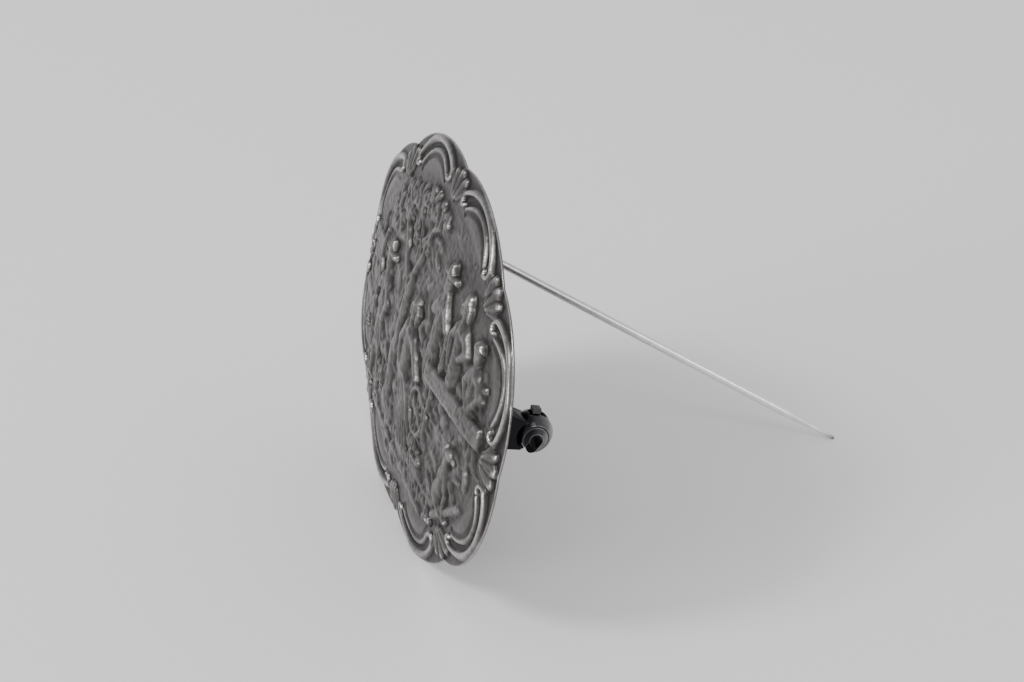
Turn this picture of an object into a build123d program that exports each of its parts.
from build123d import *
import os
from math import asin, atan2, cos, degrees, radians, sin, sqrt

# Repousse brooch, standing on two lobes of its rim and on the tip of its opened pin.
# Lengths are millimetres and angles degrees. On the plaque, x runs right, y up and
# z out of the front, seen from the front. In the part's frame the front faces -Y.

# Plaque: an oval with eight lobes, hollow behind its domed field
half_width = 27.5
half_height = 20.0
notch_scale = 0.97
crest_scale = 1.015
diagonal_shell = 49.4
rim_thickness = 0.55
shell_wall = 0.6
dome_rise = 1.5
field_half_width = 23.5
field_half_height = 16.0
field_sections = (1.0, 0.8, 0.5, 0.15)

# Border: a C-scroll and a thin inner ridge on each lobe, a fan of petals on each notch
ridge_inset = 1.05
ridge_radius = 0.6
ridge_height = 0.5
ridge_trim = 3.4
curl_radius = 1.15
curl_turn = 200.0
curl_bead = 0.58
inner_inset = 2.55
inner_radius = 0.32
inner_height = 0.75
inner_trim = 2.3
petal_count = 5
petal_height = 0.38
petal_pitch = 1.42
petal_length = 2.6
petal_reach = -0.58
petal_spread = 0.05
petal_root = 0.32
petal_tip = 0.6
root_share = 0.3

# How it stands
lean = 14.0
pin_open = 61.1
joint_skew = 13.09
stand_depth = -18.88

# Pin and its joint
hinge_x = -24.4
hinge_y = 3.61
hinge_z = -2.35
pin_length = 52.0
wire_radius = 0.45
wire_start = 0.6
neck_radius = 0.62
neck_end = 1.7
point_length = 5.0
point_radius = 0.15
eye_radius = 0.95
eye_length = 1.5
eye_bore = 0.42
heel_reach = 1.5
heel_width = 1.0
ear_gap = 0.06
ear_thickness = 0.5
ear_radius = 1.1
ear_depth = 2.3
ear_bore = 0.40
rivet_radius = 0.38
rivet_head_radius = 0.68
rivet_head = 0.3
rivet_rounding = 0.12
rivet_gap = 0.02
pad_width = 3.3
pad_height = 4.6
pad_thickness = 0.6
solder_depth = 0.15

# Safety catch: a ball with a mouth below, and a sleeve with a thumb tab that shuts it
catch_x = 24.0
catch_y = 3.61
catch_z = -2.95
ball_radius = 2.05
ball_half_length = 1.7
catch_bore = 1.32
mouth_width = 1.15
mouth_tilt = 17.0
closed_clearance = 0.25
foot_half_length = 1.15
foot_top = 2.2
foot_shoulder = 1.35
foot_bottom = 1.45
foot_start = 0.6
rotor_radius = 1.27
rotor_bore = 0.62
rotor_half_length = 1.65
tab_root = 1.0
tab_reach = 2.5
tab_width = 0.8
tab_half_thickness = 0.45
tab_swing = 110.0
window_clearance = 0.1
window_margin = 18.0

shell_angles = [0, diagonal_shell, 90, 180 - diagonal_shell,
                180, 180 + diagonal_shell, 270, 360 - diagonal_shell]
lobes = list(zip(shell_angles, shell_angles[1:] + [360]))

# Relief: rounded forms that lie on the field. A form runs from x1, y1 to x2, y2, with a
# radius at each end, and stands rise above the field. A knob has the same point twice.
# columns: name, x1, y1, x2, y2, radius1, radius2, rise
relief_forms = [
    ("tree trunk", -6.6, -9.0, -4.9, 3.6, 1.35, 1.00, 0.68),
    ("tree bough right", -4.9, 3.6, -1.4, 12.6, 0.85, 0.50, 0.59),
    ("tree bough left", -4.9, 3.6, -11.4, 9.6, 0.80, 0.50, 0.59),
    ("leaf mass top", -1.0, 14.2, -4.4, 14.0, 1.50, 1.70, 0.59),
    ("leaf mass middle", -7.6, 12.6, -9.8, 11.6, 1.80, 1.90, 0.59),
    ("leaf mass left", -12.8, 9.6, -15.4, 7.0, 1.90, 1.60, 0.59),
    ("drover head", -13.4, 3.0, -13.4, 3.0, 1.30, 1.30, 0.94),
    ("drover body", -13.4, 0.4, -13.8, -4.4, 1.50, 1.90, 0.85),
    ("drover near leg", -13.0, -5.6, -12.0, -10.6, 0.90, 0.65, 0.68),
    ("drover far leg", -14.8, -5.6, -15.4, -10.2, 0.90, 0.65, 0.59),
    ("drover staff", -17.6, 4.0, -16.9, -10.4, 0.40, 0.40, 0.51),
    ("cottage wall", -20.6, -2.6, -20.6, 1.6, 1.60, 1.60, 0.42),
    ("cottage roof", -22.2, 2.4, -19.0, 4.4, 0.60, 0.60, 0.59),
    ("spinner head", -0.4, 3.4, -0.4, 3.4, 1.35, 1.35, 0.94),
    ("spinner body", -0.8, 0.6, -1.6, -3.4, 1.50, 2.10, 0.85),
    ("spinner skirt", -1.6, -4.8, 2.6, -8.6, 2.30, 1.80, 0.77),
    ("spinner arm", 0.8, 0.2, 3.6, -2.6, 0.65, 0.50, 0.68),
    ("basket", 5.8, -9.8, 7.4, -9.8, 1.50, 1.50, 0.77),
    ("piper hat", 5.2, 11.6, 8.0, 11.2, 0.75, 0.75, 0.94),
    ("piper head", 6.6, 9.7, 6.6, 9.7, 1.25, 1.25, 0.94),
    ("piper body", 6.5, 7.0, 6.2, 3.4, 1.50, 1.90, 0.85),
    ("pipe", 7.6, 8.6, 10.2, 5.8, 0.40, 0.45, 0.51),
    ("singer head", 12.6, 10.0, 12.6, 10.0, 1.20, 1.20, 0.94),
    ("singer body", 12.6, 7.4, 12.8, 3.6, 1.40, 1.90, 0.85),
    ("listener head", 17.6, 7.6, 17.6, 7.6, 1.15, 1.15, 0.94),
    ("listener body", 17.9, 5.4, 18.4, 3.2, 1.30, 1.60, 0.77),
    ("bench", 7.2, 0.3, 21.6, 1.1, 1.0, 1.0, 0.77),
    ("bench leg left", 8.4, -0.8, 8.0, -5.4, 0.50, 0.45, 0.51),
    ("bench leg right", 20.4, -0.2, 20.9, -4.4, 0.50, 0.45, 0.51),
    ("dog head", 16.4, -3.4, 17.3, -3.6, 1.15, 0.70, 0.94),
    ("dog body", 15.6, -5.4, 14.4, -9.2, 1.15, 1.50, 0.77),
    ("dog foreleg", 16.4, -6.4, 16.8, -10.0, 0.50, 0.45, 0.68),
    ("dog tail", 12.8, -10.0, 10.8, -8.2, 0.45, 0.35, 0.59),
    ("ground left", -12.6, -12.4, 8.0, -14.2, 0.60, 0.60, 0.42),
    ("ground right", 13.8, -12.3, 21.3, -7.6, 0.55, 0.55, 0.51),
]


def oval_point(angle, factor):
    """Point of the oval at a parametric angle, scaled from the centre."""
    return Vector(half_width * factor * cos(radians(angle)),
                  half_height * factor * sin(radians(angle)))


def lobe_circle(start_angle, end_angle):
    """Centre, radius, first angle and span of the arc that bounds one lobe."""
    start = oval_point(start_angle, notch_scale)
    end = oval_point(end_angle, notch_scale)
    crest = oval_point((start_angle + end_angle) / 2, crest_scale)
    chord_middle = (start + end) / 2
    outward = Vector(end.Y - start.Y, start.X - end.X).normalized()
    sagitta = (crest - chord_middle).dot(outward)
    half_chord = (end - start).length / 2
    radius = (half_chord ** 2 + sagitta ** 2) / (2 * sagitta)
    centre = chord_middle + outward * (sagitta - radius)
    first = degrees(atan2(start.Y - centre.Y, start.X - centre.X))
    span = 2 * degrees(asin(half_chord / radius))
    return centre, radius, first, span


def on_circle(centre, radius, angle):
    """Point of a circle in the plane of the plaque."""
    return centre + Vector(radius * cos(radians(angle)), radius * sin(radians(angle)))


def field_height(x, y):
    """Height of the domed field above the plane of the rim's back."""
    across = (x / field_half_width) ** 2 + (y / field_half_height) ** 2
    return rim_thickness + dome_rise * max(0.0, 1 - across)


# Planes: the plaque's back, the joint of the pin, the opened pin and the catch
lobe_centre, lobe_radius, lobe_first, lobe_span = lobe_circle(270, 360 - diagonal_shell)
lowest_rim = lobe_centre.Y - lobe_radius
stand_height = -lowest_rim * cos(radians(lean))
back = Plane(origin=(0, stand_depth, stand_height), x_dir=(1, 0, 0),
             z_dir=(0, -cos(radians(lean)), sin(radians(lean))))


def place(x, y, z):
    """Point of the part's frame that has these plaque coordinates."""
    return back.from_local_coords(Vector(x, y, z))


def turn(x, y, z):
    """Direction of the part's frame that has these plaque components."""
    return (place(x, y, z) - place(0, 0, 0)).normalized()


closed_drop = ball_radius + closed_clearance + wire_radius - (catch_y - hinge_y)
closed_way = Vector(catch_x - hinge_x, -closed_drop, 0).normalized()
skewed = Vector(0, -sin(radians(joint_skew)), -cos(radians(joint_skew)))
opening_way = (skewed - closed_way * skewed.dot(closed_way)).normalized()
rivet_way = closed_way.cross(opening_way)
pin_way = closed_way * cos(radians(pin_open)) + opening_way * sin(radians(pin_open))
joint = Plane(origin=place(hinge_x, hinge_y, hinge_z), x_dir=turn(*closed_way), z_dir=turn(*rivet_way))
stem = Plane(origin=joint.origin, x_dir=turn(*pin_way), z_dir=joint.z_dir)
catch = Plane(origin=place(catch_x, catch_y, catch_z), x_dir=turn(0, 1, 0), z_dir=turn(1, 0, 0))
mouth = (Vector(-cos(radians(mouth_tilt)), sin(radians(mouth_tilt))) * ball_radius)


def arc(centre, radius, start_angle, turned, height):
    """Round stretch of a path at a height above the plaque's back."""
    stops = [on_circle(centre, radius, start_angle + share * turned) for share in (0, 0.5, 1)]
    return ThreePointArc(*[place(stop.X, stop.Y, height) for stop in stops])


def swept_tube(path, radius):
    """Round bar along the wire of a line builder."""
    with BuildSketch(Plane(origin=path.line @ 0, z_dir=path.line % 0)) as section:
        Circle(radius)
    return sweep(section.sketch, path=path.line, mode=Mode.PRIVATE)


def ball(point, radius):
    """Ball about a point of the part's frame."""
    return Pos(point) * Sphere(radius, mode=Mode.PRIVATE)


def scroll(start_angle, end_angle):
    """Main ridge of one lobe: a C-scroll that curls inward at both ends."""
    centre, radius, first, span = lobe_circle(start_angle, end_angle)
    ridge = radius - ridge_inset
    trim = degrees(ridge_trim / ridge)
    begin = first + trim
    end = first + span - trim
    curl_in = on_circle(centre, ridge - curl_radius, begin)
    curl_out = on_circle(centre, ridge - curl_radius, end)
    with BuildLine() as path:
        arc(curl_in, curl_radius, begin - curl_turn, curl_turn, ridge_height)
        arc(centre, ridge, begin, end - begin, ridge_height)
        arc(curl_out, curl_radius, end, curl_turn, ridge_height)
    return [swept_tube(path, ridge_radius),
            ball(path.line @ 0, curl_bead),
            ball(path.line @ 1, curl_bead)]


def inner_line(start_angle, end_angle):
    """Thin ridge that follows the inside of one lobe."""
    centre, radius, first, span = lobe_circle(start_angle, end_angle)
    line_radius = radius - inner_inset
    trim = degrees(inner_trim / line_radius)
    with BuildLine() as path:
        arc(centre, line_radius, first + trim, span - 2 * trim, inner_height)
    return swept_tube(path, inner_radius)


def tapered_bar(start, end, start_radius, end_radius):
    """Solid of revolution from start to end, with a round end at each of them."""
    way = end - start
    length = way.length
    if length == 0:
        return ball(start, start_radius)
    with BuildSketch(Plane(origin=start, x_dir=way, z_dir=back.z_dir.cross(way))) as half_outline:
        with BuildLine():
            Line((-start_radius, 0), (length + end_radius, 0))
            ThreePointArc((length + end_radius, 0),
                          (length + end_radius * sqrt(0.5), end_radius * sqrt(0.5)),
                          (length, end_radius))
            Line((length, end_radius), (0, start_radius))
            ThreePointArc((0, start_radius),
                          (-start_radius * sqrt(0.5), start_radius * sqrt(0.5)),
                          (-start_radius, 0))
        make_face()
    return revolve(half_outline.sketch, axis=Axis(start, way), mode=Mode.PRIVATE)


def shell(angle):
    """Fan of petals over the notch between two lobes."""
    notch = oval_point(angle, notch_scale)
    outward = Vector(cos(radians(angle)) / half_width, sin(radians(angle)) / half_height).normalized()
    along = Vector(-outward.Y, outward.X)
    petals = []
    for number in range(petal_count):
        step = number - (petal_count - 1) / 2
        tip = notch + along * (petal_pitch * step) + outward * (petal_reach + petal_spread * step ** 2)
        root = notch - outward * petal_length + along * (root_share * petal_pitch * step)
        petals.append(tapered_bar(place(root.X, root.Y, petal_height),
                                  place(tip.X, tip.Y, petal_height), petal_root, petal_tip))
    return petals


def relief_form(x1, y1, x2, y2, radius1, radius2, rise):
    """Rounded form sunk in the field so that it stands rise above it."""
    start = place(x1, y1, field_height(x1, y1) + rise - radius1)
    end = place(x2, y2, field_height(x2, y2) + rise - radius2)
    return tapered_bar(start, end, radius1, radius2)


def field_lens(shrink, drop):
    """Domed lens through oval sections of the field, less shrink all round."""
    sections = []
    for share in field_sections:
        height = rim_thickness + dome_rise * (1 - share ** 2) - drop
        with BuildSketch(back.offset(height)) as oval:
            Ellipse((field_half_width - shrink) * share, (field_half_height - shrink) * share)
        sections.append(oval.sketch)
    return loft(sections, mode=Mode.PRIVATE)


# Relief: it becomes part of the plaque below
with BuildPart() as relief:
    for form_name, *sizes in relief_forms:
        add(relief_form(*sizes))

# Catch housing: ball and foot, soldered to the plaque's back below
with BuildPart() as housing:
    with Locations(catch.location):
        Sphere(ball_radius)
    split(bisect_by=catch.offset(ball_half_length), keep=Keep.BOTTOM)
    split(bisect_by=catch.offset(-ball_half_length), keep=Keep.TOP)
    with BuildSketch(catch.offset(-foot_half_length)):
        with BuildLine():
            Polyline((foot_top, solder_depth - catch_z), (foot_shoulder, foot_start),
                     (-foot_bottom, foot_start), (-foot_bottom, solder_depth - catch_z), close=True)
        make_face()
    extrude(amount=2 * foot_half_length)
    with BuildSketch(catch.offset(-ball_radius)):
        Circle(catch_bore)
    extrude(amount=2 * ball_radius, mode=Mode.SUBTRACT)
    with BuildSketch(catch.offset(-ball_radius)):
        with Locations(Pos(mouth.X, mouth.Y) * Rot(0, 0, -mouth_tilt)):
            Rectangle(2 * ball_radius, mouth_width)
    extrude(amount=2 * ball_radius, mode=Mode.SUBTRACT)
    with BuildSketch(catch.offset(-tab_half_thickness - window_clearance)):
        with BuildLine():
            Polyline((0, 0), *[(2 * ball_radius * cos(radians(angle)), -2 * ball_radius * sin(radians(angle)))
                               for angle in (-window_margin, tab_swing / 3, 2 * tab_swing / 3,
                                             tab_swing + window_margin)], close=True)
        make_face()
    extrude(amount=2 * (tab_half_thickness + window_clearance), mode=Mode.SUBTRACT)

# Plaque: rim, domed field hollow at the back, border, relief, joint ears and catch housing
with BuildPart() as plaque:
    with BuildSketch(back):
        with BuildLine():
            for lobe_start, lobe_end in lobes:
                ThreePointArc(oval_point(lobe_start, notch_scale),
                              oval_point((lobe_start + lobe_end) / 2, crest_scale),
                              oval_point(lobe_end, notch_scale))
        make_face()
    extrude(amount=rim_thickness)
    add(field_lens(0, 0))
    for lobe_start, lobe_end in lobes:
        add(scroll(lobe_start, lobe_end))
        add(inner_line(lobe_start, lobe_end))
    for shell_angle in shell_angles:
        add(shell(shell_angle))
    add(relief.part)
    split(bisect_by=back, keep=Keep.TOP)
    add(field_lens(shell_wall, shell_wall), mode=Mode.SUBTRACT)
    with BuildSketch(back.offset(-pad_thickness)):
        with Locations((hinge_x, hinge_y)):
            Rectangle(pad_width, pad_height)
    extrude(amount=pad_thickness + solder_depth)
    ear_start = eye_length / 2 + ear_gap
    for ear_offset in (ear_start, -ear_start - ear_thickness):
        with BuildSketch(joint.offset(ear_offset)):
            Circle(ear_radius)
            with Locations((0, -ear_depth / 2)):
                Rectangle(2 * ear_radius, ear_depth)
            Circle(ear_bore, mode=Mode.SUBTRACT)
        extrude(amount=ear_thickness)
    add(housing.part)

# Rivet: shaft through the ears and the pin's eye, with a head on each side
with BuildPart() as hinge_rivet:
    shaft_half = ear_start + ear_thickness + rivet_gap
    with BuildSketch(joint.offset(-shaft_half)):
        Circle(rivet_radius)
    extrude(amount=2 * shaft_half)
    for head_offset in (shaft_half, -shaft_half - rivet_head):
        with BuildSketch(joint.offset(head_offset)):
            Circle(rivet_head_radius)
        extrude(amount=rivet_head)
    outer_rims = hinge_rivet.edges().filter_by(GeomType.CIRCLE).sort_by(Axis(joint.origin, joint.z_dir))
    fillet([outer_rims[0], outer_rims[-1]], rivet_rounding)

# Pin stem: flat eye with a heel, round wire and long point
with BuildPart() as pin_stem:
    with BuildSketch(joint.offset(-eye_length / 2)):
        Circle(eye_radius)
        with Locations((-heel_width / 2, -heel_reach / 2)):
            Rectangle(heel_width, heel_reach)
    extrude(amount=eye_length)
    with BuildSketch(stem):
        with BuildLine():
            Polyline((wire_start, 0), (wire_start, neck_radius), (neck_end, wire_radius),
                     (pin_length - point_length, wire_radius),
                     (pin_length - point_radius, point_radius))
            ThreePointArc((pin_length - point_radius, point_radius),
                          (pin_length - point_radius * (1 - sqrt(0.5)), point_radius * sqrt(0.5)),
                          (pin_length, 0))
            Line((pin_length, 0), (wire_start, 0))
        make_face()
    revolve(axis=Axis(stem.origin, stem.x_dir))
    with BuildSketch(joint.offset(-eye_length)):
        Circle(eye_bore)
    extrude(amount=2 * eye_length, mode=Mode.SUBTRACT)

# Catch rotor: slotted sleeve inside the housing, with a thumb tab through its window
with BuildPart() as catch_rotor:
    with BuildSketch(catch.offset(-rotor_half_length)):
        Circle(rotor_radius)
    extrude(amount=2 * rotor_half_length)
    with BuildSketch(catch.offset(-tab_half_thickness)):
        with Locations(((tab_root + tab_reach) / 2, 0)):
            Rectangle(tab_reach - tab_root, tab_width)
    extrude(amount=2 * tab_half_thickness)
    with BuildSketch(catch.offset(-ball_radius)):
        Circle(rotor_bore)
        with Locations(Pos(mouth.X, mouth.Y) * Rot(0, 0, -mouth_tilt)):
            Rectangle(2 * ball_radius, mouth_width)
    extrude(amount=2 * ball_radius, mode=Mode.SUBTRACT)

os.makedirs("parts", exist_ok=True)
plaque.part.label = "plaque"
export_step(plaque.part, "parts/plaque.step")
hinge_rivet.part.label = "hinge_rivet"
export_step(hinge_rivet.part, "parts/hinge_rivet.step")
pin_stem.part.label = "pin_stem"
export_step(pin_stem.part, "parts/pin_stem.step")
catch_rotor.part.label = "catch_rotor"
export_step(catch_rotor.part, "parts/catch_rotor.step")
